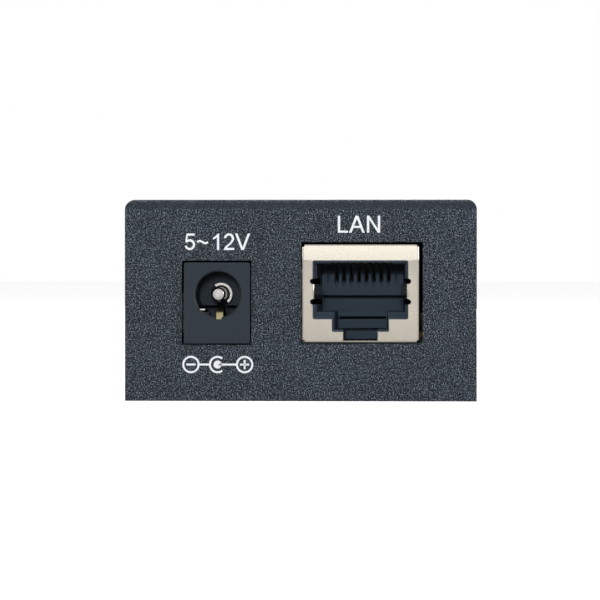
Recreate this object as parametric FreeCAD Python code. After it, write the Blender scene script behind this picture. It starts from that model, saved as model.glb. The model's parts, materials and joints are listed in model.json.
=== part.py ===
"""Fibre media converter: a small painted steel box that joins a copper network port to a fibre slot.

Frame: X to the right and Y to the back as seen from the copper end, Z up. The origin is the middle of the
underside, on the surface that the box stands on. The power jack and the copper port are in the front panel at
-Y; the slot for a pluggable fibre transceiver and three lamps are in the rear panel at +Y. Millimetres.

How it is built: the cover is one folded sheet with the top, the front panel and both sides. The tray is a second
folded sheet with the base, the rear panel and two low side flanges, and it carries the circuit board on four
riveted standoffs. The loaded tray slides forward into the cover, and four countersunk screws hold them together.
"""

import FreeCAD, Part
import math
import os

Vector = FreeCAD.Vector

# ---------------------------------------------------------------- driving dimensions: the box
WIDTH = 48.0
DEPTH = 70.0
HEIGHT = 27.5
SHEET = 1.0  # steel sheet of the cover and the tray
BEND_OUT = 1.4  # outer radius of every bend in that sheet
BEND_IN = BEND_OUT - SHEET
SLIP = 0.1  # gap between the tray and the inside of the cover
FRONT = -DEPTH / 2
REAR = DEPTH / 2
SIDE = WIDTH / 2
TRAY_SIDE = SIDE - SHEET - SLIP  # outer faces of the tray's side flanges
FLANGE_TOP = 8.5
FLANGE_FRONT = FRONT + 2.2
FLANGE_REAR = REAR - 4.2

# ---------------------------------------------------------------- driving dimensions: the board
BOARD_T = 1.6
STANDOFF_H = 5.3
BOARD_BOTTOM = SHEET + STANDOFF_H
BOARD_TOP = BOARD_BOTTOM + BOARD_T
BOARD_HALF_W = 21.4
BOARD_FRONT = FRONT + 3.4
BOARD_REAR = REAR - 1.7
BOARD_HOLES = [(x, y) for y in (-27.0, 29.0) for x in (-18.9, 18.9)]
LEAD_PLAY = 0.15  # a lead's hole in the board is this much larger, on the radius

# ---------------------------------------------------------------- driving dimensions: the ports
PROUD = 0.4  # how far the jacks stand out of the front panel
DC_X = -11.38
DC_WIDTH = 9.0
DC_HEIGHT = 11.0
DC_LENGTH = 14.2
DC_BORE_X = DC_X + 0.13
DC_AXIS_Z = BOARD_TOP + 6.65
DC_BORE_R = 3.15
DC_BORE_DEPTH = 8.4
DC_PIN_R = 1.0
DC_PIN_RECESS = 0.8
DC_TAIL_Y = FRONT - PROUD + 10.7  # the leaf contact's leg
DC_SWITCH_X = DC_BORE_X - 2.3
DC_COLLAR_FRONT = FRONT - PROUD + 6.4
DC_COLLAR_R = 1.55
DC_SWITCH_LEG_Y = FRONT - PROUD + 9.0
RJ_X = 8.2
RJ_WIDTH = 15.95
RJ_HEIGHT = 13.4
RJ_LENGTH = 20.0
RJ_BASE = BOARD_TOP + 0.1
CONTACT_COUNT = 8
CONTACT_PITCH = 1.04
SFP_X = -9.0
SFP_INSIDE_W = 14.0
SFP_INSIDE_H = 8.9
SFP_SHEET = 0.25
SFP_LENGTH = 48.0
SFP_MOUTH = REAR + PROUD
SFP_BASE = BOARD_TOP
SFP_ROOM = 0.6  # space for the spring fingers between the cage and the rear panel
LAMP_XS = (4.0, 8.5, 13.0)
LAMP_Z = BOARD_TOP + 5.6
LAMP_R = 1.5

# ---------------------------------------------------------------- driving dimensions: fasteners
M25_R = 1.15  # the working radius of an M2.5 thread, on the screw and in the metal
CASE_HEAD_R = 2.2
CASE_SCREW_Z = 4.3
CASE_SCREW_YS = (-22.0, 22.0)
CASE_SCREW_L = 3.4
BOARD_HEAD_R = 2.25
STANDOFF_R = 2.3
STANDOFF_SHANK_R = 1.9


# ================================================================ small tools
def block(x, y, z):
    """A box from three (low, high) pairs."""
    return Part.makeBox(x[1] - x[0], y[1] - y[0], z[1] - z[0], Vector(x[0], y[0], z[0]))


def rod(radius, start, end):
    """A round bar between two points."""
    axis = Vector(*end) - Vector(*start)
    return Part.makeCylinder(radius, axis.Length, Vector(*start), axis)


def cone(r_start, r_end, start, end):
    """A cone frustum between two points."""
    axis = Vector(*end) - Vector(*start)
    return Part.makeCone(r_start, r_end, axis.Length, Vector(*start), axis)


def prism(corners, push):
    """A flat outline of 3D corners, pushed out along a vector."""
    loop = [Vector(*c) for c in corners]
    return Part.Face(Part.makePolygon(loop + loop[:1])).extrude(Vector(*push))


def bare(shape):
    """The solid itself, where an operation has wrapped just one."""
    return shape.Solids[0] if len(shape.Solids) == 1 else shape


def fuse(first, *others):
    """One solid from several that touch or overlap, with no seams left on its faces."""
    return bare(first.fuse(list(others)).removeSplitter())


def cut(first, *others):
    return bare(first.cut(list(others)))


def edges_where(shape, test):
    """The straight edges whose two ends both pass the test."""
    return [e for e in shape.Edges if len(e.Vertexes) == 2 and all(test(v.Point) for v in e.Vertexes)]


def near(a, b):
    return abs(a - b) < 1e-6


def bent_strip(path, thickness, bend, plane, low, width):
    """A strip of sheet or wire bent along a flat path.

    path: (u, v) points down the middle of the thickness; bend: the radius there, one for all corners or one each,
    and 0 for a plain mitre;
    plane: "yz", "xz" or "xy", the plane of u and v; low and width: its place along the third axis.
    """
    place = {
        "yz": lambda u, v: Vector(low, u, v),
        "xz": lambda u, v: Vector(u, low, v),
        "xy": lambda u, v: Vector(u, v, low),
    }[plane]
    push = {"yz": Vector(width, 0, 0), "xz": Vector(0, width, 0), "xy": Vector(0, 0, width)}[plane]
    bends = bend if isinstance(bend, (list, tuple)) else [bend] * (len(path) - 2)
    half = thickness / 2
    outline = []
    for side in (half, -half):
        edges = strip_edge(path, bends, side)
        outline.append([make(*(place(*p) for p in points)) for make, points in edges])
    first, second = outline
    starts = [group[0].firstVertex(True).Point for group in outline]
    finishes = [group[-1].lastVertex(True).Point for group in outline]
    closing = [Part.makeLine(*starts), Part.makeLine(*finishes)]
    return Part.Face(Part.Wire(Part.__sortEdges__(first + second + closing))).extrude(push)


def strip_edge(path, bends, side):
    """One long edge of a bent strip: lines, and arcs at the bends that have a radius."""

    def step(point, direction, distance):
        return (point[0] + direction[0] * distance, point[1] + direction[1] * distance)

    def heading(a, b):
        length = math.hypot(b[0] - a[0], b[1] - a[1])
        return ((b[0] - a[0]) / length, (b[1] - a[1]) / length)

    def arc(*points):
        return Part.Arc(*points).toShape()

    edges = []
    along = heading(path[0], path[1])
    normal = (-along[1], along[0])
    start = step(path[0], normal, side)
    for corner, after, radius in zip(path[1:-1], path[2:], bends):
        out = heading(corner, after)
        out_normal = (-out[1], out[0])
        turn = math.atan2(along[0] * out[1] - along[1] * out[0], along[0] * out[0] + along[1] * out[1])
        reach = radius * math.tan(abs(turn) / 2)
        if radius:
            end = step(step(corner, along, -reach), normal, side)
            middle = (normal[0] + out_normal[0], normal[1] + out_normal[1])
            size = math.hypot(*middle)
            middle = (middle[0] / size, middle[1] / size)
            bow = radius - math.copysign(side, turn * side)
            centre = step(step(corner, along, -reach), normal, math.copysign(radius, turn))
            begin = math.copysign(bow, -turn)
            outer_end = step(step(corner, out, reach), out_normal, side)
            edges.append((Part.makeLine, (start, end)))
            edges.append((arc, (end, step(centre, middle, begin), outer_end)))
            start = outer_end
        else:
            mitre = side / (1 + normal[0] * out_normal[0] + normal[1] * out_normal[1])
            end = (
                corner[0] + (normal[0] + out_normal[0]) * mitre,
                corner[1] + (normal[1] + out_normal[1]) * mitre,
            )
            edges.append((Part.makeLine, (start, end)))
            start = end
        along, normal = out, out_normal
    edges.append((Part.makeLine, (start, step(path[-1], normal, side))))
    return edges


def rounded_plate(x, y, z, radius, axis):
    """A box whose four edges along one axis are rounded."""
    solid = block(x, y, z)
    along = [e for e in solid.Edges if near(abs(e.tangentAt(0).dot(Vector(*axis))), 1)]
    return solid.makeFillet(radius, along)


def many_sided(radius, start, end, sides=12):
    """A bar along X or Z with flat sides, for what repeats out of sight: inner fasteners and small holes."""
    x, y, z = start
    along_z = near(x, end[0])
    corners = []
    for i in range(sides):
        angle = 2 * math.pi * (i + 0.5) / sides
        u, v = radius * math.cos(angle), radius * math.sin(angle)
        corners.append((x + u, y + v, z) if along_z else (x, y + u, z + v))
    return prism(corners, (end[0] - x, end[1] - y, end[2] - z))


def lead_hole(x, y, radius):
    """A small hole through the board for one lead."""
    return many_sided(radius, (x, y, BOARD_BOTTOM - 1), (x, y, BOARD_TOP + 1), 8)


def cross_recess(x, y, z, axis, radius, depth):
    """The two crossed slots of a screw head, to cut from a head whose top is at the point."""
    half = 0.3
    if axis == "z":
        sink = (z - depth, z + 0.1)
        return [
            block((x - radius, x + radius), (y - half, y + half), sink),
            block((x - half, x + half), (y - radius, y + radius), sink),
        ]
    sink = sorted((x * 1.01, x - math.copysign(depth, x)))
    return [
        block(sink, (y - radius, y + radius), (z - half, z + half)),
        block(sink, (y - half, y + half), (z - radius, z + radius)),
    ]


# ================================================================ the folded box
def case_screw_places():
    return [(side, y) for side in (-1, 1) for y in CASE_SCREW_YS]


def side_vents():
    """Upright slots through each side wall, their ends cut off at the corners."""
    slot_w, slot_h, pitch, count, low, corner = 1.8, 10.0, 4.6, 6, 11.5, 0.55
    cutters = []
    for i in range(count):
        y = (i - (count - 1) / 2) * pitch
        slot = block((-SIDE - 1, SIDE + 1), (y - slot_w / 2, y + slot_w / 2), (low, low + slot_h))
        cutters.append(slot.makeChamfer(corner, [e for e in slot.Edges if near(abs(e.tangentAt(0).x), 1)]))
    return cutters


def make_cover():
    """Top, front panel and both sides, folded from one sheet. The corner seams are open slits below the bends."""
    outer = block((-SIDE, SIDE), (FRONT, REAR), (0, HEIGHT))

    def on_bend(side, front, top):
        return lambda p: near(p.z, top) and (near(abs(p.x), side) or near(p.y, front))

    def bend_edges(solid, side, front, top):
        """The two side edges and the front edge of the top."""
        found = edges_where(solid, on_bend(side, front, top))
        last = max(v.Y for v in solid.Vertexes)
        return [e for e in found if not near(e.Vertexes[0].Y + e.Vertexes[1].Y, 2 * last)]

    outer = outer.makeFillet(BEND_OUT, bend_edges(outer, SIDE, FRONT, HEIGHT))
    inner = block((-SIDE + SHEET, SIDE - SHEET), (FRONT + SHEET, REAR + 5), (-5, HEIGHT - SHEET))
    inner = inner.makeFillet(BEND_IN, bend_edges(inner, SIDE - SHEET, FRONT + SHEET, HEIGHT - SHEET))
    cover = cut(outer, inner)
    seam = 0.1
    seam_y = FRONT + SHEET
    cutters = [
        block((-SIDE - 1, -SIDE + SHEET), (seam_y, seam_y + seam), (-1, HEIGHT - 2 * BEND_OUT)),
        block((SIDE - SHEET, SIDE + 1), (seam_y, seam_y + seam), (-1, HEIGHT - 2 * BEND_OUT)),
    ]
    through = (FRONT - 1, FRONT + SHEET + 0.2)
    cutters.append(block((DC_X - 4.8, DC_X + 4.66), through, (BOARD_TOP - 0.24, BOARD_TOP + DC_HEIGHT + 0.25)))
    cutters.append(block((RJ_X - 8.1, RJ_X + 8.46), through, (RJ_BASE - 0.14, RJ_BASE + RJ_HEIGHT + 0.27)))
    cutters += side_vents()
    for side, y in case_screw_places():
        mouth = (side * SIDE, y, CASE_SCREW_Z)
        floor = (side * (SIDE - SHEET), y, CASE_SCREW_Z)
        cutters.append(cone(CASE_HEAD_R, CASE_HEAD_R - SHEET, mouth, floor))
    return cut(cover, *cutters)


def make_tray():
    """Base, low side flanges and rear panel, folded from one sheet."""
    mid = SHEET / 2
    centre_r = BEND_OUT - mid
    trough = bent_strip(
        [
            (-TRAY_SIDE + mid, FLANGE_TOP), (-TRAY_SIDE + mid, mid),
            (TRAY_SIDE - mid, mid), (TRAY_SIDE - mid, FLANGE_TOP),
        ],
        SHEET, centre_r, "xz", FLANGE_FRONT, FLANGE_REAR - FLANGE_FRONT,
    )
    lip = block((-TRAY_SIDE, TRAY_SIDE), (FRONT + SHEET + SLIP, FLANGE_FRONT - 0.6), (0, SHEET))
    neck = block((-TRAY_SIDE + 1.6, TRAY_SIDE - 1.6), (FRONT + SHEET + SLIP, REAR - 3), (0, SHEET))
    back = bent_strip(
        [(FLANGE_REAR + 1.2, mid), (REAR - mid, mid), (REAR - mid, HEIGHT - SHEET - SLIP)],
        SHEET, centre_r, "yz", -TRAY_SIDE, 2 * TRAY_SIDE,
    )
    top = HEIGHT - SHEET - SLIP
    corners = edges_where(back, lambda p: near(p.z, top) and near(abs(p.x), TRAY_SIDE))
    back = back.makeFillet(0.5, [e for e in corners if near(e.Length, SHEET)])
    tray = fuse(trough, lip, neck, back)
    collars, cutters = [], []
    for side, y in case_screw_places():
        inside = side * (TRAY_SIDE - SHEET)
        collars.append(many_sided(1.9, (inside, y, CASE_SCREW_Z), (inside - side * 0.8, y, CASE_SCREW_Z)))
        cutters.append(many_sided(M25_R, (side * SIDE, y, CASE_SCREW_Z), (side * (SIDE - 6), y, CASE_SCREW_Z)))
    for x, y in BOARD_HOLES:
        cutters.append(many_sided(STANDOFF_SHANK_R, (x, y, -1), (x, y, SHEET + 1)))
    through = (REAR - SHEET - 1, REAR + 1)
    slot_half = SFP_INSIDE_W / 2 + SFP_SHEET + SFP_ROOM
    slot_z = (SFP_BASE - SFP_ROOM, SFP_BASE + SFP_INSIDE_H + 2 * SFP_SHEET + SFP_ROOM)
    cutters.append(block((SFP_X - slot_half, SFP_X + slot_half), through, slot_z))
    for x in LAMP_XS:
        cutters.append(rod(LAMP_R + 0.1, (x, through[0], LAMP_Z), (x, through[1], LAMP_Z)))
    return cut(fuse(tray, *collars), *cutters)


def make_standoffs():
    """Four round standoffs, riveted into the base."""
    made = []
    for x, y in BOARD_HOLES:
        body = many_sided(STANDOFF_R, (x, y, SHEET), (x, y, BOARD_BOTTOM))
        shank = many_sided(STANDOFF_SHANK_R, (x, y, 0.05), (x, y, SHEET))
        bore = many_sided(M25_R, (x, y, 0), (x, y, BOARD_BOTTOM + 1))
        made.append(cut(fuse(body, shank), bore))
    return made


def make_board_screws():
    """Four pan-head screws that hold the board down on the standoffs."""
    made = []
    head_t = 1.4
    for x, y in BOARD_HOLES:
        head = many_sided(BOARD_HEAD_R, (x, y, BOARD_TOP), (x, y, BOARD_TOP + head_t))
        head = head.makeChamfer(0.5, edges_where(head, lambda p: near(p.z, BOARD_TOP + head_t)))
        shank = many_sided(M25_R, (x, y, BOARD_TOP - 5.0), (x, y, BOARD_TOP))
        made.append(cut(fuse(head, shank), *cross_recess(x, y, BOARD_TOP + head_t, "z", 1.1, 0.8)))
    return made


def make_case_screws():
    """Four countersunk screws, flush with the cover's sides."""
    made = []
    for side, y in case_screw_places():
        taper = CASE_HEAD_R - M25_R
        outside = side * SIDE
        head = cone(CASE_HEAD_R, M25_R, (outside, y, CASE_SCREW_Z), (outside - side * taper, y, CASE_SCREW_Z))
        tip = outside - side * CASE_SCREW_L
        shank = many_sided(M25_R, (outside - side * taper, y, CASE_SCREW_Z), (tip, y, CASE_SCREW_Z))
        made.append(cut(fuse(head, shank), *cross_recess(outside, y, CASE_SCREW_Z, "x", 1.15, 0.8)))
    return made


# ================================================================ the power jack
def make_dc_jack_housing(metal):
    """The jack's moulded body, bored for the plug, with a pocket below the bore for its two leaf contacts."""
    half = DC_WIDTH / 2
    front = FRONT - PROUD
    rear = front + DC_LENGTH
    height = (BOARD_TOP, BOARD_TOP + DC_HEIGHT)
    body = rounded_plate((DC_X - half, DC_X + half), (front, rear), height, 0.3, (0, 1, 0))
    bottom = front + DC_BORE_DEPTH
    low = DC_AXIS_Z - DC_BORE_R
    chord = DC_AXIS_Z - 1.6
    lip = 1.6
    bore = rod(DC_BORE_R, (DC_BORE_X, front - 1, DC_AXIS_Z), (DC_BORE_X, bottom, DC_AXIS_Z))
    collar_room = rod(DC_COLLAR_R, (DC_BORE_X, bottom - 1, DC_AXIS_Z), (DC_BORE_X, bottom + 1.2, DC_AXIS_Z))
    pocket = block((DC_BORE_X - 2.75, DC_BORE_X + 2.3), (front + lip, rear - 1.6), (low - 1.0, chord))
    tail_slot = block((DC_BORE_X - 1.1, DC_BORE_X + 1.1), (bottom, rear - 1.6), (BOARD_TOP - 1, chord))
    leaf_notch = block((DC_BORE_X - 0.5, DC_BORE_X + 0.5), (front - 1, front + lip + 0.1), (low - 0.25, low + 0.5))
    tongue_notch = block((DC_BORE_X - 2.72, DC_BORE_X - 1.9), (front - 1, front + lip + 0.1), (chord - 0.65, chord))
    rear_pocket = block((DC_BORE_X - 2.1, DC_BORE_X + 2.1), (rear - 0.9, rear + 1), (BOARD_TOP - 1, DC_AXIS_Z + 2.1))
    mouth, flare_end = (DC_BORE_X, front - 0.05, DC_AXIS_Z), (DC_BORE_X, front + 0.2, DC_AXIS_Z)
    flare = cone(DC_BORE_R + 0.25, DC_BORE_R, mouth, flare_end)
    return cut(body, bore, collar_room, pocket, tail_slot, leaf_notch, tongue_notch, rear_pocket, flare, *metal)


def make_dc_jack_pin():
    """The centre pin with its domed tip and narrower neck, a collar open at the lower left, and its terminal."""
    front = FRONT - PROUD
    tip, root = front + DC_PIN_RECESS, front + DC_BORE_DEPTH
    rear = front + DC_LENGTH
    at = lambda y: (DC_BORE_X, y, DC_AXIS_Z)
    pin = rod(DC_PIN_R, at(tip), at(DC_COLLAR_FRONT))
    dome = [e for e in pin.Edges if e.Closed and near(e.Vertexes[0].Y, tip)]
    pin = pin.makeFillet(0.62, dome)
    neck = rod(DC_PIN_R - 0.3, at(DC_COLLAR_FRONT - 0.5), at(rear - 0.2))
    collar = cut(rod(DC_COLLAR_R, at(DC_COLLAR_FRONT), at(rear - 0.6)), rod(DC_COLLAR_R - 0.32, at(front), at(rear)))
    opening = [
        (DC_BORE_X, front, DC_AXIS_Z), (DC_BORE_X - 1.4, front, DC_AXIS_Z + 2.0),
        (DC_BORE_X - 3, front, DC_AXIS_Z + 2.0), (DC_BORE_X - 3, front, DC_AXIS_Z - 3),
        (DC_BORE_X + 2.6, front, DC_AXIS_Z - 3),
    ]
    collar = cut(collar, prism(opening, (0, root + 2.2 - front, 0)))
    plate = block((DC_BORE_X - 1.6, DC_BORE_X + 1.6), (rear - 0.8, rear - 0.4), (BOARD_TOP + 1, DC_AXIS_Z + 1.6))
    leg = block((DC_BORE_X - 0.9, DC_BORE_X + 0.9), (rear - 0.8, rear - 0.4), (BOARD_BOTTOM - 1.5, BOARD_TOP + 1))
    return fuse(pin, neck, collar, plate, leg)


def make_dc_jack_spring():
    """The leaf that presses on the plug's sleeve from below."""
    front = FRONT - PROUD
    low = DC_AXIS_Z - DC_BORE_R
    path = [
        (DC_TAIL_Y, BOARD_BOTTOM - 1.5), (DC_TAIL_Y, low - 0.7), (front + 5.4, low + 1.3), (front + 2.5, low + 0.85),
        (front + 1.9, low - 0.35),
    ]
    return bent_strip(path, 0.28, [0.5, 0.8, 0.6], "yz", DC_BORE_X - 0.34, 0.9)


def make_dc_jack_switch():
    """The switching contact: a flat tongue low at the left of the bore, with its leg behind."""
    front = FRONT - PROUD
    bar = DC_AXIS_Z - 2.08
    path = [(front + 2.0, bar), (DC_SWITCH_LEG_Y, bar), (DC_SWITCH_LEG_Y, BOARD_BOTTOM - 1.5)]
    return bent_strip(path, 0.22, 0.4, "yz", DC_SWITCH_X - 0.4, 0.8)


def dc_jack_holes():
    """The board's slots for the jack's three legs."""
    front = FRONT - PROUD
    span = (BOARD_BOTTOM - 1, BOARD_TOP + 1)
    rear_y = front + DC_LENGTH - 0.6
    return [
        block((DC_BORE_X - 1.1, DC_BORE_X + 1.1), (rear_y - 0.4, rear_y + 0.4), span),
        block((DC_BORE_X - 0.7, DC_BORE_X + 0.7), (DC_TAIL_Y - 0.4, DC_TAIL_Y + 0.4), span),
        block((DC_SWITCH_X - 0.6, DC_SWITCH_X + 0.6), (DC_SWITCH_LEG_Y - 0.4, DC_SWITCH_LEG_Y + 0.4), span),
    ]


# ================================================================ the copper port
def contact_xs():
    return [RJ_X + (i - (CONTACT_COUNT - 1) / 2) * CONTACT_PITCH for i in range(CONTACT_COUNT)]


def contact_leg_y(index):
    """The solder legs stand in two staggered rows."""
    return FRONT + 16.3 + (2.54 if index % 2 else 0.0)


def make_network_contacts():
    """Eight gilded wires: up from the board, forward under the roof, then folded back down into the comb."""
    made = []
    roof = RJ_BASE + 11.3
    for i, x in enumerate(contact_xs()):
        leg = contact_leg_y(i)
        path = [
            (leg, BOARD_BOTTOM - 1.4), (leg, roof), (FRONT + 4.5, roof), (FRONT + 4.5, roof - 0.36),
            (FRONT + 8.8, roof - 0.5), (FRONT + 13.6, RJ_BASE + 8.5),
        ]
        made.append(bent_strip(path, 0.22, 0, "yz", x - 0.15, 0.3))
    return made


def make_network_insert(contacts):
    """The block at the back of the cavity that holds the contacts, with the comb on its front."""
    face = FRONT + 13.1
    back = FRONT + 19.2
    body = block((RJ_X - 5.7, RJ_X + 5.7), (face, back), (RJ_BASE + 0.1, RJ_BASE + 11.5))
    step = block((RJ_X - 5.8, RJ_X + 5.8), (face - 1, face + 2.6), (RJ_BASE + 9.1, RJ_BASE + 12))
    groove = block((RJ_X - 5.5, RJ_X + 5.5), (face - 1, face + 2.8), (RJ_BASE + 5.85, RJ_BASE + 6.3))
    latch_groove = block((RJ_X - 3.3, RJ_X + 3.3), (face - 1, face + 2.0), (RJ_BASE + 3.0, RJ_BASE + 3.4))
    low, flare, top = RJ_BASE + 7.45, RJ_BASE + 8.1, RJ_BASE + 9.25
    comb = block((RJ_X - 5.7, RJ_X + 5.7), (face - 1.2, face), (RJ_BASE + 6.35, top))
    slots = []
    half = 0.33
    for x in contact_xs():
        slots.append(block((x - half, x + half), (face - 2, face + 2.6), (flare, top + 1)))
        foot = [(x - half, face - 2, flare), (x + half, face - 2, flare), (x, face - 2, low)]
        slots.append(prism(foot, (0, 2.6, 0)))
    for side in (-1, 1):
        inner = RJ_X + side * (4.5 * CONTACT_PITCH - 0.14)
        outer = inner + side * 0.42
        slots.append(block(sorted((inner, outer)), (face - 2, face + 0.8), (flare, top + 1)))
    return cut(fuse(cut(body, step, groove, latch_groove), comb), *slots, *contacts)


def make_network_housing(insert_room, contacts):
    """The black moulding of the port, with the stepped cavity for the plug and its latch."""
    front = FRONT - PROUD + 0.3
    body = block((RJ_X - 7.6, RJ_X + 7.6), (front, FRONT + 19.3), (RJ_BASE + 0.3, RJ_BASE + RJ_HEIGHT - 0.35))
    face = FRONT + 13.1

    def tapered(half_front, half_rear, rear, z):
        corners = [
            (RJ_X - half_front, front - 1, z[0]), (RJ_X + half_front, front - 1, z[0]),
            (RJ_X + half_rear, rear, z[0]), (RJ_X - half_rear, rear, z[0]),
        ]
        return prism(corners, (0, 0, z[1] - z[0]))

    cavity = tapered(6.2, 5.72, face, (RJ_BASE + 4.15, RJ_BASE + 10.7))
    porch = tapered(6.3, 6.3, front + 2.6, (RJ_BASE + 3.5, RJ_BASE + 10.9))
    latch_wide = tapered(3.75, 3.4, face - 2.2, (RJ_BASE + 1.75, RJ_BASE + 5.0))
    latch_narrow = tapered(2.4, 2.3, face - 4.6, (RJ_BASE - 1, RJ_BASE + 2.0))
    lines = [
        block((RJ_X - 3.3, RJ_X + 3.3), (face - 2.3, face - 0.1), (RJ_BASE + 3.0, RJ_BASE + 3.4)),
        block((RJ_X - 2.9, RJ_X + 2.9), (face - 4.7, face - 0.6), (RJ_BASE + 1.4, RJ_BASE + 1.75)),
    ]
    pits = []
    for side in (-1, 1):
        for z in (RJ_BASE + 8.33, RJ_BASE + 5.54):
            wall = sorted((RJ_X + side * 5.3, RJ_X + side * 6.9))
            pits.append(block(wall, (front - 1, front + 9.0), (z - 0.4, z + 0.37)))
    roof = block((RJ_X - 4.3, RJ_X + 4.3), (FRONT + 1.6, face + 1), (RJ_BASE + 10.6, RJ_BASE + 11.45))
    tab_room = block((RJ_X - 6.8, RJ_X + 6.8), (front - 1, front + 1.6), (RJ_BASE + 5.85, RJ_BASE + 8.02))
    return cut(body, cavity, porch, latch_wide, latch_narrow, roof, tab_room, insert_room, *lines, *pits, *contacts)


def make_network_shield():
    """The stamped metal shell: a keyed mouth, notched corners, ground tabs, and legs into the board."""
    t = 0.25
    half = RJ_WIDTH / 2
    front = FRONT - PROUD
    rear = front + RJ_LENGTH
    low, high = RJ_BASE, RJ_BASE + RJ_HEIGHT
    shell = block((RJ_X - half, RJ_X + half), (front, rear), (low, high))
    shell = shell.makeFillet(0.24, edges_where(shell, lambda p: near(p.y, front)))
    inside = block((RJ_X - half + t, RJ_X + half - t), (front + t, rear - t), (low + t, high - t))
    open_floor = block((RJ_X - half + t, RJ_X + half - t), (front + 4.5, rear - t), (low - 1, low + 1))
    punch = (front - 1, front + t + 0.3)
    mouth = [
        rounded_plate((RJ_X - 6.52, RJ_X + 6.5), punch, (low + 3.17, high - 2.21), 0.3, (0, 1, 0)),
        rounded_plate((RJ_X - 3.9, RJ_X + 3.88), punch, (low + 1.47, low + 5), 0.2, (0, 1, 0)),
        block((RJ_X - 2.38, RJ_X + 2.36), (front - 1, front + t + 0.3), (low + 0.23, low + 3)),
    ]
    notches = []
    for x in (RJ_X - half, RJ_X + half):
        for z in (low, high):
            notches.append(block((x - 0.36, x + 0.36), (front - 0.1, front + 3.0), (z - 0.36, z + 0.36)))
    reliefs = []
    for x in (RJ_X - 6.52, RJ_X + 6.5):
        for z in (low + 5.54, low + 8.33):
            reliefs.append(rod(0.37, (x, front - 1, z), (x, front + t, z)))
    windows = [
        block((RJ_X - 5, RJ_X + 5), (rear - 1, rear + 1), (low - 1, low + 3.0)),
        block((RJ_X - half - 1, RJ_X - half + 1), (rear - 5.2, rear - 2.2), (low - 1, low + 0.8)),
        block((RJ_X + half - 1, RJ_X + half + 1), (rear - 5.2, rear - 2.2), (low - 1, low + 0.8)),
    ]
    legs = []
    for x in (RJ_X - half, RJ_X + half - t):
        legs.append(block((x, x + t), (front + 8.2, front + 9.8), (BOARD_BOTTOM - 1.3, low + 0.1)))
    tabs = []
    for edge, side in ((RJ_X - 6.52, 1), (RJ_X + 6.5, -1)):
        path = [
            (edge - side * 0.3, front + t / 2), (edge + side * 0.1, front + t / 2), (edge + side * 0.95, front + 3.6),
            (edge + side * 0.75, front + 4.9),
        ]
        tabs.append(bent_strip(path, t, [0.2, 0.5], "xy", low + 5.95, 1.97))
    return fuse(cut(shell, inside, open_floor, *mouth, *notches, *reliefs, *windows), *legs, *tabs)


def network_jack_holes():
    """Holes for the contacts' legs and for the shell's two legs."""
    holes = [lead_hole(x, contact_leg_y(i), 0.26 + LEAD_PLAY) for i, x in enumerate(contact_xs())]
    for side in (-1, 1):
        holes.append(lead_hole(RJ_X + side * (RJ_WIDTH / 2 - 0.13), FRONT - PROUD + 9.0, 1.05))
    return holes


# ================================================================ the fibre slot
def cage_pin_places():
    """Press-fit pins along both sides of the cage."""
    return [(side, y) for side in (-1, 1) for y in (-9.0, 1.5, 12.0, 22.0)]


def make_sfp_cage():
    """The folded metal cage for a pluggable fibre transceiver, vented on top, open at the rear panel."""
    t = SFP_SHEET
    half = SFP_INSIDE_W / 2 + t
    back = SFP_MOUTH - SFP_LENGTH
    low, high = SFP_BASE, SFP_BASE + SFP_INSIDE_H + 2 * t
    shell = block((SFP_X - half, SFP_X + half), (back, SFP_MOUTH), (low, high))
    room = block((SFP_X - half + t, SFP_X + half - t), (back + t, SFP_MOUTH + 1), (low + t, high - t))
    cutters = [room]
    cutters.append(block((SFP_X - half + 1, SFP_X + half - 1), (back - 1, back + 10.6), (low - 1, low + t + 0.1)))
    for row in range(2):
        for column in range(4):
            x = SFP_X + (column - 1.5) * 3.0
            y = 4.0 + row * 5.0
            cutters.append(many_sided(0.95, (x, y, high - 1), (x, y, high + 1), 8))
    for side in (-1, 1):
        for i in range(3):
            y = 2.5 + i * 9.0
            cutters.append(block(
                (SFP_X + side * half - 1, SFP_X + side * half + 1), (y, y + 4.2), (low + 3.6, low + 5.2)
            ))
    tongue_y = SFP_MOUTH - 9.0
    cutters.append(block((SFP_X - 2.4, SFP_X - 1.9), (tongue_y, SFP_MOUTH + 1), (low - 1, low + t + 0.1)))
    cutters.append(block((SFP_X + 1.9, SFP_X + 2.4), (tongue_y, SFP_MOUTH + 1), (low - 1, low + t + 0.1)))
    catch = [(SFP_X - 1.2, tongue_y + 4.0), (SFP_X + 1.2, tongue_y + 4.0), (SFP_X, tongue_y + 6.4)]
    cutters.append(prism([(x, y, low - 1) for x, y in catch], (0, 0, 2)))
    pins = []
    for side, y in cage_pin_places():
        outer = SFP_X + side * half
        inner = outer - side * t
        pins.append(block(sorted((outer, inner)), (y - 0.4, y + 0.4), (BOARD_BOTTOM - 1.0, low + 1)))
    return fuse(cut(shell, *cutters), *pins)


def cage_holes():
    half = SFP_INSIDE_W / 2 + SFP_SHEET / 2
    return [lead_hole(SFP_X + side * half, y, 0.62) for side, y in cage_pin_places()]


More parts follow.
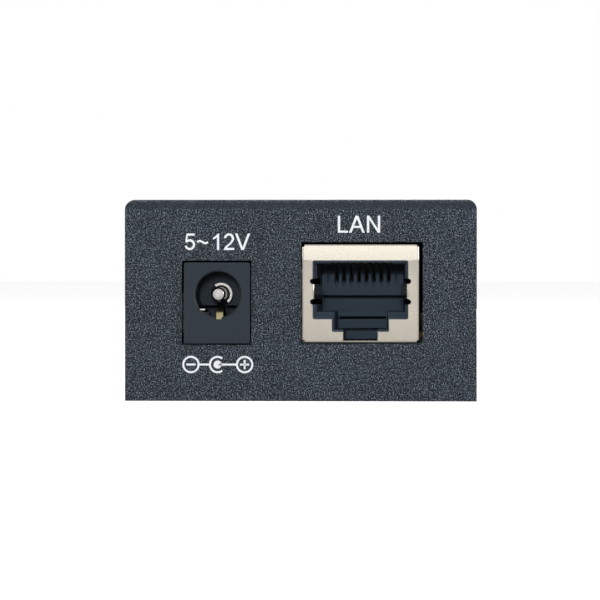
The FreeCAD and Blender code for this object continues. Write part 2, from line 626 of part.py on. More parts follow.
def make_sfp_fingers():
    """Springy earthing fingers round the mouth of the cage, each bowed out against the rear panel."""
    t = 0.1
    half = SFP_INSIDE_W / 2 + SFP_SHEET
    high = SFP_BASE + SFP_INSIDE_H + 2 * SFP_SHEET
    start, end = SFP_MOUTH - 5.6, SFP_MOUTH - 0.1
    band_end = start + 1.2
    made = []
    top = block((SFP_X - half + 0.6, SFP_X + half - 0.6), (start, band_end), (high, high + t))
    sides = []
    bow = [(start + 1, t / 2), (start + 1.6, t / 2), (SFP_MOUTH - 1.2, 0.48), (end, 0.2)]
    for i in range(5):
        x = SFP_X + (i - 2) * 2.6
        path = [(y, high + rise) for y, rise in bow]
        sides.append(bent_strip(path, t, 0, "yz", x - 1.05, 2.1))
    made.append(fuse(top, *sides))
    for side in (-1, 1):
        wall = SFP_X + side * half
        band = block(sorted((wall, wall + side * t)), (start, band_end), (SFP_BASE + 0.8, high - 0.6))
        fingers = []
        for i in range(3):
            z = SFP_BASE + 1.9 + i * 2.6
            path = [(wall + side * rise, y) for y, rise in bow]
            fingers.append(bent_strip(path, t, 0, "xy", z - 1.0, 2.0))
        made.append(fuse(band, *fingers))
    return made


def make_sfp_connector(contacts):
    """The twenty-way edge connector at the back of the cage."""
    back = SFP_MOUTH - SFP_LENGTH
    y = (back + 1.9, back + 8.4)
    body = block((SFP_X - 5.1, SFP_X + 5.1), y, (BOARD_TOP + 0.1, BOARD_TOP + 5.4))
    slot = block((SFP_X - 4.5, SFP_X + 4.5), (y[1] - 4.6, y[1] + 1), (BOARD_TOP + 2.3, BOARD_TOP + 3.9))
    shoulder = block((SFP_X - 6, SFP_X + 6), (y[0] - 1, y[0] + 1.4), (BOARD_TOP + 4.4, BOARD_TOP + 6))
    return cut(body, slot, shoulder, *contacts)


def make_sfp_contacts():
    """Two rows of ten contacts, with their tails on the board in front of and behind the connector."""
    back = SFP_MOUTH - SFP_LENGTH
    made = []
    rear_tail, front_tail = back + 0.9, back + 9.4
    for i in range(10):
        x = SFP_X + (i - 4.5) * 0.8
        upper = [
            (rear_tail, BOARD_TOP + 0.1), (back + 1.55, BOARD_TOP + 0.1), (back + 1.55, BOARD_TOP + 4.05),
            (back + 7.6, BOARD_TOP + 3.75),
        ]
        made.append(bent_strip(upper, 0.2, 0, "yz", x - 0.15, 0.3))
        x += 0.4 if i < 9 else -0.4
        if i == 9:
            x = SFP_X - 4.5 * 0.8 - 0.4
        lower = [(front_tail, BOARD_TOP + 0.1), (back + 8.75, BOARD_TOP + 0.1), (back + 8.75, BOARD_TOP + 2.0),
                 (back + 4.4, BOARD_TOP + 2.4)]
        made.append(bent_strip(lower, 0.2, 0, "yz", x - 0.15, 0.3))
    return made


# ================================================================ the parts on the board
def gull_leads(x, y, span_x, count, pitch, height, along="y"):
    """Gull-wing leads on the two long sides of a chip. span_x: the width over the body."""
    made = []
    for side in (-1, 1):
        for i in range(count):
            place = (i - (count - 1) / 2) * pitch
            root = side * span_x / 2
            path = [
                (root, BOARD_TOP + height), (side * (span_x / 2 + 0.35), BOARD_TOP + height),
                (side * (span_x / 2 + 0.35), BOARD_TOP + 0.08), (side * (span_x / 2 + 0.9), BOARD_TOP + 0.08),
            ]
            width = 0.4 if pitch > 1 else 0.2
            strip = bent_strip(path, 0.15, 0, "xz", place - width / 2, width)
            if along == "x":
                strip.rotate(Vector(0, 0, 0), Vector(0, 0, 1), 90)
            strip.translate(Vector(x, y, 0))
            made.append(strip)
    return made


def chip_body(x, y, size_x, size_y, size_z, lift=0.1):
    """A moulded package with drafted upper edges."""
    low, high = BOARD_TOP + lift, BOARD_TOP + size_z
    body = block((x - size_x / 2, x + size_x / 2), (y - size_y / 2, y + size_y / 2), (low, high))
    return body.makeChamfer(0.15, edges_where(body, lambda p: near(p.z, high)))


def make_chip_pads(x, y, size, count, pitch):
    """The flush metal pads round the underside of a leadless chip."""
    made = []
    for i in range(count):
        along = (i - (count - 1) / 2) * pitch
        for side in (-1, 1):
            inner, outer = sorted((side * (size / 2 - 0.5), side * (size / 2 + 0.1)))
            strip, across = (along - 0.15, along + 0.15), (inner, outer)
            for xs, ys in ((strip, across), (across, strip)):
                made.append(block((x + xs[0], x + xs[1]), (y + ys[0], y + ys[1]), (BOARD_TOP, BOARD_TOP + 0.1)))
    return made


def make_small_chip(place, leads_along):
    """An eight-lead package."""
    sizes = (3.9, 4.9) if leads_along == "y" else (4.9, 3.9)
    return chip_body(*place, *sizes, 1.6), gull_leads(*place, 3.9, 4, 1.27, 0.8, leads_along)


def make_capacitors():
    """Electrolytic capacitors: the cans, and the bases that they sit on."""
    cans, bases = [], []
    for x, y, radius, height in CAPACITORS:
        edge = radius + 0.15
        base = block((x - edge, x + edge), (y - edge, y + edge), (BOARD_TOP, BOARD_TOP + 1.1))
        corner = [e for e in base.Edges if near(abs(e.tangentAt(0).z), 1) and e.Vertexes[0].Y > y]
        bases.append(base.makeChamfer(0.9, corner))
        low, high = BOARD_TOP + 1.1, BOARD_TOP + height
        profile = [
            (0, low), (radius, low), (radius, high - 0.35), (radius - 0.35, high), (0, high),
        ]
        loop = [Vector(x + r, y, z) for r, z in profile]
        face = Part.Face(Part.makePolygon(loop + loop[:1]))
        cans.append(face.revolve(Vector(x, y, 0), Vector(0, 0, 1), 360))
    return cans, bases


def make_inductor():
    """A shielded power inductor."""
    x, y = INDUCTOR_AT
    body = block((x - 2.6, x + 2.6), (y - 2.6, y + 2.6), (BOARD_TOP, BOARD_TOP + 2.8))
    upright = [e for e in body.Edges if near(abs(e.tangentAt(0).z), 1)]
    body = body.makeChamfer(0.7, upright)
    rim = rod(2.2, (x, y, BOARD_TOP + 2.4), (x, y, BOARD_TOP + 3))
    well = cut(rim, rod(1.9, (x, y, BOARD_TOP), (x, y, BOARD_TOP + 3)))
    return cut(body, well)


def make_crystal():
    """The crystal in its low oval can."""
    x, y = CRYSTAL_AT
    flange = rounded_plate((x - 2.4, x + 2.4), (y - 5.7, y + 5.7), (BOARD_TOP, BOARD_TOP + 0.6), 2.39, (0, 0, 1))
    can = rounded_plate((x - 2.0, x + 2.0), (y - 5.2, y + 5.2), (BOARD_TOP + 0.6, BOARD_TOP + 3.6), 1.99, (0, 0, 1))
    return fuse(flange, can)


def make_diode():
    """The diode that guards against a reversed supply: body and the two tabs folded under it."""
    x, y = DIODE_AT
    body = block((x - 1.3, x + 1.3), (y - 2.1, y + 2.1), (BOARD_TOP + 0.15, BOARD_TOP + 2.2))
    tabs = []
    for side in (-1, 1):
        path = [(y + side * 1.2, BOARD_TOP + 0.1), (y + side * 2.35, BOARD_TOP + 0.1), (y + side * 2.35, BOARD_TOP + 1.2),
                (y + side * 1.9, BOARD_TOP + 1.2)]
        tabs.append(bent_strip(path, 0.2, 0, "yz", x - 0.7, 1.4))
    return cut(body, *tabs), tabs


def make_lamp(x):
    """One three-millimetre lamp lying on its side, its dome just outside the rear panel."""
    at = lambda y: (x, y, LAMP_Z)
    lens = rod(LAMP_R, at(REAR - 5.0), at(REAR + 0.2))
    dome = [e for e in lens.Edges if e.Closed and near(e.Vertexes[0].Y, REAR + 0.2)]
    lens = lens.makeChamfer(0.6, dome)
    rim = rod(1.85, at(REAR - 5.4), at(REAR - 4.4))
    return fuse(lens, rim)


def make_lamp_legs(x):
    made = []
    for side in (-1, 1):
        path = [(REAR - 4.9, LAMP_Z), (REAR - 6.6, LAMP_Z), (REAR - 6.6, BOARD_BOTTOM - 1.3)]
        made.append(bent_strip(path, 0.4, 0, "yz", x + side - 0.2, 0.4))
    return made


def lamp_holes():
    return [lead_hole(x + side, REAR - 6.6, 0.32 + LEAD_PLAY) for x in LAMP_XS for side in (-1, 1)]


def make_chip_parts(places, height):
    """Small two-terminal parts as (body, metal end, metal end) groups."""
    bodies, ends = [], []
    for x, y, turned in places:
        long_half, cap_half, wide_half = 0.62, 1.0, 0.62
        across = (-wide_half, wide_half)
        parts = [((-long_half, long_half), bodies), ((-cap_half, -long_half), ends), ((long_half, cap_half), ends)]
        for span, group in parts:
            xs, ys = (across, span) if turned else (span, across)
            group.append(block((x + xs[0], x + xs[1]), (y + ys[0], y + ys[1]), (BOARD_TOP, BOARD_TOP + height)))
    return bodies, ends


TRANSFORMER_AT = (8.6, -9.4)
CONVERTER_AT = (8.6, 3.2)
MEMORY_AT = (5.0, 15.6)
REGULATOR_AT = (-3.3, -17.2)
INDUCTOR_AT = (-3.3, -24.0)
CRYSTAL_AT = (17.9, 3.2)
DIODE_AT = (-3.3, -30.6)
CAPACITORS = [(-17.6, -16.8, 3.0, 7.2), (-10.6, -16.8, 3.0, 7.2)]
CAPACITOR_CHIPS = [
    (1.2, -3.0, 0), (4.4, -3.0, 0), (12.6, -3.0, 0), (16.0, -3.0, 0), (0.6, 1.0, 1), (0.6, 5.0, 1), (4.0, 11.2, 0),
    (13.0, 11.2, 0), (17.6, -7.6, 1),
]
RESISTOR_CHIPS = [
    (1.0, 12.6, 1), (10.2, 13.6, 1), (4.0, 25.2, 0), (8.5, 25.2, 0), (13.0, 25.2, 0), (1.2, 20.4, 1),
    (-3.3, -13.9, 0),
]


# ================================================================ the board
def make_board(holes):
    board = rounded_plate(
        (-BOARD_HALF_W, BOARD_HALF_W), (BOARD_FRONT, BOARD_REAR), (BOARD_BOTTOM, BOARD_TOP), 1.0, (0, 0, 1)
    )
    for x, y in BOARD_HOLES:
        holes = holes + [many_sided(1.5, (x, y, BOARD_BOTTOM - 1), (x, y, BOARD_TOP + 1))]
    return cut(board, *holes)


# ================================================================ everything, one file per node
def build():
    parts = {
        "cover": make_cover(),
        "tray": make_tray(),
        "standoffs": make_standoffs(),
        "board_screws": make_board_screws(),
        "case_screws": make_case_screws(),
        "circuit_board": make_board(dc_jack_holes() + network_jack_holes() + cage_holes() + lamp_holes()),
    }
    dc_metal = {
        "dc_jack_pin": make_dc_jack_pin(),
        "dc_jack_spring": make_dc_jack_spring(),
        "dc_jack_switch_contact": make_dc_jack_switch(),
    }
    parts.update(dc_metal)
    parts["dc_jack_housing"] = make_dc_jack_housing(list(dc_metal.values()))
    contacts = make_network_contacts()
    insert_room = block((RJ_X - 5.75, RJ_X + 5.75), (FRONT + 11.8, FRONT + 22), (RJ_BASE, RJ_BASE + 11.55))
    parts["network_jack_contacts"] = contacts
    parts["network_jack_insert"] = make_network_insert(contacts)
    parts["network_jack_housing"] = make_network_housing(insert_room, contacts)
    parts["network_jack_shield"] = make_network_shield()
    sfp_contacts = make_sfp_contacts()
    parts["sfp_cage"] = make_sfp_cage()
    parts["sfp_spring_fingers"] = make_sfp_fingers()
    parts["sfp_connector"] = make_sfp_connector(sfp_contacts)
    parts["sfp_connector_contacts"] = sfp_contacts
    parts["transformer"] = chip_body(*TRANSFORMER_AT, 12.7, 7.0, 5.6)
    parts["transformer_leads"] = gull_leads(*TRANSFORMER_AT, 7.0, 8, 1.27, 1.4, "x")
    parts["converter_chip"] = chip_body(*CONVERTER_AT, 9.0, 9.0, 0.9)
    parts["converter_chip_pads"] = make_chip_pads(*CONVERTER_AT, 9.0, 9, 0.85)
    parts["memory_chip"], parts["memory_chip_leads"] = make_small_chip(MEMORY_AT, "x")
    parts["regulator_chip"], parts["regulator_chip_leads"] = make_small_chip(REGULATOR_AT, "y")
    parts["electrolytic_capacitors"], parts["capacitor_bases"] = make_capacitors()
    parts["power_inductor"] = make_inductor()
    parts["crystal"] = make_crystal()
    parts["power_diode"], parts["power_diode_tabs"] = make_diode()
    legs = []
    for name, x in zip(("power_lamp", "fibre_lamp", "copper_lamp"), LAMP_XS):
        own = make_lamp_legs(x)
        parts[name] = cut(make_lamp(x), *own)
        legs += own
    parts["lamp_legs"] = legs
    bodies, caps = make_chip_parts(CAPACITOR_CHIPS, 0.9)
    parts["chip_capacitors"] = bodies
    bodies, more = make_chip_parts(RESISTOR_CHIPS, 0.5)
    parts["chip_resistors"] = bodies
    parts["chip_end_caps"] = caps + more
    return parts


def main():
    os.makedirs("parts", exist_ok=True)
    for node, shape in build().items():
        if isinstance(shape, list):
            shape = Part.makeCompound(shape)
        shape.exportStep("parts/%s.step" % node)


main()
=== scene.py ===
# %% [markdown]
# # A small fibre media converter
# The real thing is a folded steel box, painted with a fine-textured powder coat, with a power jack and a
# shielded network port in its front panel. Its solids come ready made as the frame. Here they get softened
# edges, finishes that behave like the real materials, the printed marks, and a plain studio.

# %% Load the frame and note its size
import json
import math
import bpy
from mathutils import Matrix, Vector


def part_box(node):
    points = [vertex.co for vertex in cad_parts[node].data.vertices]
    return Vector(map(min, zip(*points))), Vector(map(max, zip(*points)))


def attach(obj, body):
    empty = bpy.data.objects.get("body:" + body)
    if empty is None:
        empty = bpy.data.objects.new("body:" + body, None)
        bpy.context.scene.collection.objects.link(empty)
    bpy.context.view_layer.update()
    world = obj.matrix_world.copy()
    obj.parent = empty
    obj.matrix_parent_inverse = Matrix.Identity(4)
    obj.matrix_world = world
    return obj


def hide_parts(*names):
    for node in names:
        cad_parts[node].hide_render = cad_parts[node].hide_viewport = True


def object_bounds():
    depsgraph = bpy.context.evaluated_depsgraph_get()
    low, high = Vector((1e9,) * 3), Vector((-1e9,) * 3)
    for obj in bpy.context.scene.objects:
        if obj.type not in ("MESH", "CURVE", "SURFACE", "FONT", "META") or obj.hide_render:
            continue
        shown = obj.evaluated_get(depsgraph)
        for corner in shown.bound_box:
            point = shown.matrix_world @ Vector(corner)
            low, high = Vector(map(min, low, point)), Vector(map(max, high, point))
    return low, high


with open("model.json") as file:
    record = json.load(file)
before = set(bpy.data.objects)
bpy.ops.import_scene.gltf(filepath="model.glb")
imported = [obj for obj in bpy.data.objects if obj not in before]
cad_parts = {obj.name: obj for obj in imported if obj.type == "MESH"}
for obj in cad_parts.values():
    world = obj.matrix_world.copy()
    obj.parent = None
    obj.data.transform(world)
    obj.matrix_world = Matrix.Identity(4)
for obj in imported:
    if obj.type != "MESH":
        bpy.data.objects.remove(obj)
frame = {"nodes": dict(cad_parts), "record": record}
CAD_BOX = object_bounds()
MM = 0.001
COVER_LOW, COVER_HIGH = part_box("cover")
FRONT_Y = COVER_LOW[1]
print("overall size in mm:", [round((b - a) / MM, 2) for a, b in zip(*CAD_BOX)])


# %% [markdown]
# ## Working tools
# Operators act on whatever is selected, and loading leaves everything selected. So every step starts by
# clearing the selection and picking one object. One helper does that, and a second one puts a piece's place
# into its mesh, so that its object sits at the origin as the solids' objects do.

# %% Selecting and settling a piece
def pick(*objects):
    """Selects only these objects, in object mode, and makes the first one active."""
    if bpy.context.object and bpy.context.object.mode != "OBJECT":
        bpy.ops.object.mode_set(mode="OBJECT")
    bpy.ops.object.select_all(action="DESELECT")
    for thing in objects:
        thing.select_set(True)
    bpy.context.view_layer.objects.active = objects[0]


def settle(piece):
    """Puts the piece's place, turn and size into its mesh, so its object sits at the origin."""
    pick(piece)
    bpy.ops.object.transform_apply(location=True, rotation=True, scale=True)


def triangles(piece):
    """How many triangles the piece's faces make."""
    return sum(len(p.vertices) - 2 for p in piece.data.polygons)


print("working on", len(frame["nodes"]), "solids,", sum(map(triangles, frame["nodes"].values())), "triangles")


# %% [markdown]
# ## Softening the solids
# No real edge is perfectly sharp: folded steel has a small burr radius under its paint, and moulded plastic
# has the radius of its tool. Those tiny rounds are what catch the light. Each solid is copied, its loose
# triangles are merged, and a narrow bevel is run along every edge that turns by more than 30 degrees. Broad
# faces then get their own normals back, so that they shade flat. The copy stands for the solid.

# %% A bevelled copy of a solid
MERGE_GAP = 0.002
BEVEL_STEPS = 2
SHARP_TURN = math.radians(30)
SMOOTH_TURN = math.radians(40)
COPLANAR_TURN = math.radians(1)


def softened(node, width, reshape=None):
    """A copy of a CAD node, reshaped if asked, with its sharp edges rounded to this width in mm."""
    source = frame["nodes"][node]
    piece = source.copy()
    piece.data = source.data.copy()
    piece.name = node + "_finished"
    bpy.context.collection.objects.link(piece)
    pick(piece)
    bpy.ops.object.mode_set(mode="EDIT")
    bpy.ops.mesh.select_all(action="SELECT")
    bpy.ops.mesh.remove_doubles(threshold=MERGE_GAP * MM)
    bpy.ops.mesh.dissolve_limited(angle_limit=COPLANAR_TURN)
    bpy.ops.object.mode_set(mode="OBJECT")
    if reshape:
        reshape(piece)
    bevel = piece.modifiers.new("rounded edges", "BEVEL")
    bevel.width = width * MM
    bevel.segments = BEVEL_STEPS
    bevel.limit_method = "ANGLE"
    bevel.angle_limit = SHARP_TURN
    bpy.ops.object.modifier_apply(modifier=bevel.name)
    bpy.ops.object.shade_smooth_by_angle(angle=SMOOTH_TURN)
    flatten = piece.modifiers.new("flat faces stay flat", "WEIGHTED_NORMAL")
    flatten.keep_sharp = True
    flatten.weight = 100
    bpy.ops.object.modifier_apply(modifier=flatten.name)
    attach(piece, "root")
    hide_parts(node)
    return piece


print("edges that turn by more than", round(math.degrees(SHARP_TURN)), "degrees will be rounded")


# %% [markdown]
# ## The port's leaning top band
# Punching the mouth pulls the metal in, so the band of shell above it leans back by a few degrees and catches
# more light than the rest. On the copy, a cut just above the mouth makes the crease, which stays sharp. Each
# row of points above it then moves back in proportion to its height, so the band stays flat.

# %% Lean the band back
BAND_LEAN = math.radians(3.5)
BAND_HEIGHT = 2.2
CREASE_HEIGHT = 0.05
FACE_DEPTH = 0.6
LOWEST_ROW = 0.1


def lean_top_band(shell):
    """Leans the part of the shell's face above its mouth back, from the crease up."""
    low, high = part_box("network_jack_shield")
    mouth_top = high[2] - BAND_HEIGHT * MM
    face_back = low[1] + FACE_DEPTH * MM
    pick(shell)
    bpy.ops.object.mode_set(mode="EDIT")
    bpy.ops.mesh.select_all(action="SELECT")
    bpy.ops.mesh.bisect(plane_co=(0, 0, mouth_top + CREASE_HEIGHT * MM), plane_no=(0, 0, 1))
    bpy.ops.mesh.mark_sharp()
    bpy.ops.mesh.select_all(action="DESELECT")
    bpy.ops.object.mode_set(mode="OBJECT")
    face = [v for v in shell.data.vertices if v.co.y < face_back]
    heights = {v.index: round((v.co.z - mouth_top) / MM, 2) for v in face}
    rows = sorted({height for height in heights.values() if height > LOWEST_ROW})
    for row in rows:
        for vertex in shell.data.vertices:
            vertex.select = heights.get(vertex.index) == row
        bpy.ops.object.mode_set(mode="EDIT")
        bpy.ops.mesh.select_mode(type="VERT")
        bpy.ops.transform.translate(value=(0, row * MM * math.tan(BAND_LEAN), 0))
        bpy.ops.mesh.select_all(action="DESELECT")
        bpy.ops.object.mode_set(mode="OBJECT")
    print(len(rows), "rows lean back, the top one by", round(rows[-1] * math.tan(BAND_LEAN), 2), "mm")


# %% [markdown]
# ## The reliefs beside the port's mouth
# The moulding has four narrow slots, two on each side of the mouth. They run so far back that no light
# reaches their ends, and they read as dark marks from in front. The solid has them only part of the way, so
# the copy gets them at full depth: a box of the slot's size is subtracted at each place.

# %% Deepen the four reliefs
RELIEF_SIZE = (1.1, 17, 0.76)
RELIEF_MIDDLE = 8.0
RELIEF_OFF_CENTRE = 6.3
RELIEF_HEIGHTS = (8.02, 5.22)


def deepen_reliefs(moulding):
    """Cuts two slots on each side of the mouth, at their heights above the moulding's foot.

    RELIEF_SIZE is their width, length and height, and RELIEF_MIDDLE is how deep their middle lies.
    """
    low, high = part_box("network_jack_housing")
    centre = (low[0] + high[0]) / 2
    middle = low[1] + RELIEF_MIDDLE * MM
    for side in (-1, 1):
        for height in RELIEF_HEIGHTS:
            place = (centre + side * RELIEF_OFF_CENTRE * MM, middle, low[2] + height * MM)
            bpy.ops.mesh.primitive_cube_add(size=1, location=place)
            tool = bpy.context.object
            tool.scale = [length * MM for length in RELIEF_SIZE]
            slot = moulding.modifiers.new("relief", "BOOLEAN")
            slot.operation = "DIFFERENCE"
            slot.solver = "EXACT"
            slot.object = tool
            pick(moulding)
            bpy.ops.object.modifier_apply(modifier=slot.name)
            pick(tool)
            bpy.ops.object.delete()
    pick(moulding)
    print(2 * len(RELIEF_HEIGHTS), "reliefs run back to", RELIEF_MIDDLE + RELIEF_SIZE[1] / 2, "mm")


# %% [markdown]
# ## Round the edges of what shows
# The widths are the real radii: painted sheet edges about 0.12 mm, moulded edges about 0.1 mm, thin stamped
# sheet and screw heads about 0.05 mm. The two reshaped pieces are the port's shell and its moulding. The
# contact insert keeps its sharp edges, because a bevel breaks the fine faces of its comb.

# %% Finished copies
EDGE_WIDTHS = {
    "cover": 0.12,
    "tray": 0.12,
    "dc_jack_housing": 0.12,
    "network_jack_shield": 0.05,
    "network_jack_housing": 0.08,
    "sfp_cage": 0.05,
    "sfp_connector": 0.08,
    "case_screws": 0.05,
}
RESHAPED = {"network_jack_shield": lean_top_band, "network_jack_housing": deepen_reliefs}
FINISHED = {}
for name, width in EDGE_WIDTHS.items():
    FINISHED[name] = softened(name, width, RESHAPED.get(name))
    print(name, triangles(FINISHED[name]), "triangles")


# %% [markdown]
# ## Tools for finishes
# A finish is a small tree of nodes. Four helpers keep each tree short to write: one turns a colour from a
# chart, which is sRGB, into the linear numbers that a renderer wants, one adds any node with its settings and
# links, one starts a finish, and one works out a pattern's scale. Patterns read Object coordinates, which are
# metres here, so that scale is one over a real size. A Mix node keeps sockets for every kind of value:
# numbers go in at 2 and 3 and come out at 0, and colours go in at 6 and 7 and come out at 2.

# %% Colours and nodes
COLOUR_MIX = {"data_type": "RGBA"}
NUMBER_MIX = {"data_type": "FLOAT"}
PLASTIC_IOR = 1.5
MATT_SPECULAR = 0.12


def linear(code):
    """A linear colour from an sRGB hex code such as 3f454d."""
    values = [int(code[i:i + 2], 16) / 255 for i in (0, 2, 4)]
    return [v / 12.92 if v <= 0.04045 else ((v + 0.055) / 1.055) ** 2.4 for v in values] + [1.0]


def add(tree, kind, settings=None, stops=(), **inputs):
    """Adds a node of this kind to the tree.

    settings are the node's own properties, and stops are a colour ramp's places and sRGB codes. inputs are
    values or links: a socket goes by its name, with _ for a space, or by its place as i0, i1 and so on.
    """
    node = tree.nodes.new("ShaderNode" + kind)
    for name, value in (settings or {}).items():
        setattr(node, name, value)
    for name, value in inputs.items():
        key = int(name[1:]) if name[0] == "i" and name[1:].isdigit() else name.replace("_", " ")
        if isinstance(value, bpy.types.NodeSocket):
            tree.links.new(value, node.inputs[key])
        else:
            node.inputs[key].default_value = value
    while stops and len(node.color_ramp.elements) < len(stops):
        node.color_ramp.elements.new(0.5)
    for number, (position, code) in enumerate(stops):
        node.color_ramp.elements[number].position = position
        node.color_ramp.elements[number].color = linear(code)
    return node


def new_finish(name):
    """A material of this name, and its tree with nothing in it."""
    material = bpy.data.materials.new(name)
    material.use_nodes = True
    material.node_tree.nodes.clear()
    return material, material.node_tree


def pattern_scale(size):
    """The scale of a pattern whose parts are about this many mm apart."""
    return 1 / (size * MM)


FINISHES = {}
print("a pattern of 1 mm has the scale", round(pattern_scale(1)))


# %% [markdown]
# ## Powder coat
# The box is sprayed with polyester powder and baked. A fine-textured grade leaves a skin of grains a fifth to
# a third of a millimetre across, like fine sand, charcoal with a slight blue cast. What the eye sees is a
# soft sparkle: each grain has a lit crown and a dark foot. So one noise drives both the height and the
# colour, which carries a painted highlight on each crown and a painted shade at each foot, and a wider,
# fainter noise keeps large faces from looking printed. Along the fold under the top face a band is almost
# plain: one flat colour takes the place of the painted highlight and shade, and the relief drops to a third.

# %% Powder coat
GRAIN = 0.17
CLOUD = 9.0
GRAIN_NOISE = {"Scale": pattern_scale(GRAIN), "Detail": 3.0, "Roughness": 0.62}
# From low to high grain: painted shade at the grains' feet, then painted highlight on their crowns.
GRAIN_HIGHLIGHT_AND_SHADE = ((0.4, "12161b"), (0.52, "2d343a"), (0.62, "747c88"), (0.7, "9fa7b4"))
CLOUD_COLOURS = ((0.3, "f2f2f2"), (0.7, "ffffff"))
FOLD_COLOUR = "2e343b"
FOLD_SHARE = 0.8
FOLD_BELOW_TOP = (1.45, 1.15, 0.5, 0.25)
COAT_DEPTH = 0.07
COAT_BUMP = 0.6
FOLD_BUMP_LOSS = 0.5


def fold_band(tree, place):
    """A number that is FOLD_SHARE along the fold and 0 elsewhere.

    FOLD_BELOW_TOP says how far below the box's top it starts, is full, starts to fade, and ends.
    """
    start, full, fade, end = (COVER_HIGH[2] - below * MM for below in FOLD_BELOW_TOP)
    z = add(tree, "SeparateXYZ", Vector=place).outputs["Z"]
    rise = add(tree, "MapRange", Value=z, From_Min=start, From_Max=full, To_Max=FOLD_SHARE)
    fall = add(tree, "MapRange", Value=z, From_Min=fade, From_Max=end, To_Min=1.0, To_Max=0.0)
    both = add(tree, "Math", {"operation": "MULTIPLY"}, i0=rise.outputs["Result"], i1=fall.outputs["Result"])
    return both.outputs["Value"]


def make_powder_coat():
    """The box's coat: grains with their relief and their painted highlight and shade, faint clouds, and the
    plainer fold.
    """
    material, tree = new_finish("fine-textured polyester powder coat")
    place = add(tree, "TexCoord").outputs["Object"]
    grains = add(tree, "TexNoise", Vector=place, **GRAIN_NOISE).outputs["Fac"]
    clouds = add(tree, "TexNoise", Vector=place, Scale=pattern_scale(CLOUD), Detail=1.0).outputs["Fac"]
    # The grain colours are a painted highlight on each crown and a painted shade at each foot.
    sand = add(tree, "ValToRGB", stops=GRAIN_HIGHLIGHT_AND_SHADE, Fac=grains).outputs["Color"]
    cast = add(tree, "ValToRGB", stops=CLOUD_COLOURS, Fac=clouds).outputs["Color"]
    textured = add(tree, "Mix", {**COLOUR_MIX, "blend_type": "MULTIPLY"}, i0=1.0, i6=sand, i7=cast).outputs[2]
    fold = fold_band(tree, place)
    # Along the fold one plain colour takes the place of the painted highlight and shade.
    colour = add(tree, "Mix", COLOUR_MIX, i0=fold, i6=textured, i7=linear(FOLD_COLOUR)).outputs[2]
    haze = add(tree, "MapRange", Value=grains, To_Min=0.48, To_Max=0.66).outputs["Result"]
    relief = add(tree, "Math", {"operation": "MULTIPLY_ADD"}, i0=fold, i1=-FOLD_BUMP_LOSS, i2=COAT_BUMP)
    bump = add(tree, "Bump", Height=grains, Distance=COAT_DEPTH * MM, Strength=relief.outputs["Value"])
    shader = add(tree, "BsdfPrincipled", Base_Color=colour, Roughness=haze,
                 Normal=bump.outputs["Normal"], IOR=PLASTIC_IOR, Specular_IOR_Level=MATT_SPECULAR)
    add(tree, "OutputMaterial", Surface=shader.outputs["BSDF"])
    return material


FINISHES["painted_steel"] = make_powder_coat()
print("the coat's tree has", len(FINISHES["painted_steel"].node_tree.nodes), "nodes")


# %% [markdown]
# ## Rolled sheet
# The port's shell and the fibre cage are stamped from sheet that is nickel plated before it is cut, so they
# have the soft grey-beige sheen of satin nickel, with rolling marks that run one way. The leaf contacts and
# the capacitors' cans are rolled and drawn too. A fine noise, stretched along one axis, makes the marks. They
# are drawn 0.05 mm wide, coarser than real ones, or they wouldn't show at all.

# %% Rolled metals
ROLLING_MARK = 0.05
MARKS_RUN = (1, 1, 0.06)
PLATING_CLOUD = 3.0


def make_rolled_metal(name, code, roughness, spread=0.06):
    """Sheet metal with faint rolling marks, whose roughness varies by about this spread."""
    material, tree = new_finish(name)
    place = add(tree, "TexCoord").outputs["Object"]
    along = add(tree, "Mapping", Vector=place, Scale=MARKS_RUN).outputs["Vector"]
    marks = add(tree, "TexNoise", Vector=along, Scale=pattern_scale(ROLLING_MARK)).outputs["Fac"]
    cloud = add(tree, "TexNoise", Vector=place, Scale=pattern_scale(PLATING_CLOUD)).outputs["Fac"]
    both = add(tree, "Math", {"operation": "MULTIPLY"}, i0=marks, i1=cloud).outputs["Value"]
    haze = add(tree, "MapRange", Value=both, To_Min=roughness - spread, To_Max=roughness + 3 * spread)
    bump = add(tree, "Bump", Height=marks, Distance=0.002 * MM, Strength=0.4)
    shader = add(tree, "BsdfPrincipled", Base_Color=linear(code), Metallic=1.0,
                 Roughness=haze.outputs["Result"], Normal=bump.outputs["Normal"])
    add(tree, "OutputMaterial", Surface=shader.outputs["BSDF"])
    return material


FINISHES["nickel_shell"] = make_rolled_metal("satin nickel-plated sheet", "b4aea3", 0.13, 0.01)
FINISHES["brass_leaf"] = make_rolled_metal("spring brass strip", "b4ab84", 0.34)
FINISHES["can_aluminium"] = make_rolled_metal("drawn aluminium can", "cfd0d2", 0.3)
print(len(FINISHES), "finishes so far")


# %% [markdown]
# ## Plated metal
# The pin is turned and bright. Contacts are gilded, leads are tinned, and screws are zinc plated or
# blackened.
# The gilt is a dark brown far below real gold: a painted shade, so that the contacts deep in the port's
# cavity read dark. None has a direction, only a slight haze, which one soft noise gives.

# %% Turned and plated metals
HAZE = 0.4


def make_turned_metal(name, code, roughness):
    """Metal that was turned or plated bright, with only a slight haze."""
    material, tree = new_finish(name)
    place = add(tree, "TexCoord").outputs["Object"]
    haze = add(tree, "TexNoise", Vector=place, Scale=pattern_scale(HAZE), Detail=3.0).outputs["Fac"]
    gloss = add(tree, "MapRange", Value=haze, To_Min=roughness * 0.7, To_Max=roughness * 1.4)
    shader = add(tree, "BsdfPrincipled", Base_Color=linear(code), Metallic=1.0,
                 Roughness=gloss.outputs["Result"])
    add(tree, "OutputMaterial", Surface=shader.outputs["BSDF"])
    return material


FINISHES["black_steel"] = make_turned_metal("blackened zinc screw", "3a3a3c", 0.42)
FINISHES["plated_steel"] = make_turned_metal("bright zinc plate", "c9c8c4", 0.3)
FINISHES["nickel"] = make_turned_metal("bright nickel plate", "c4c2be", 0.16)
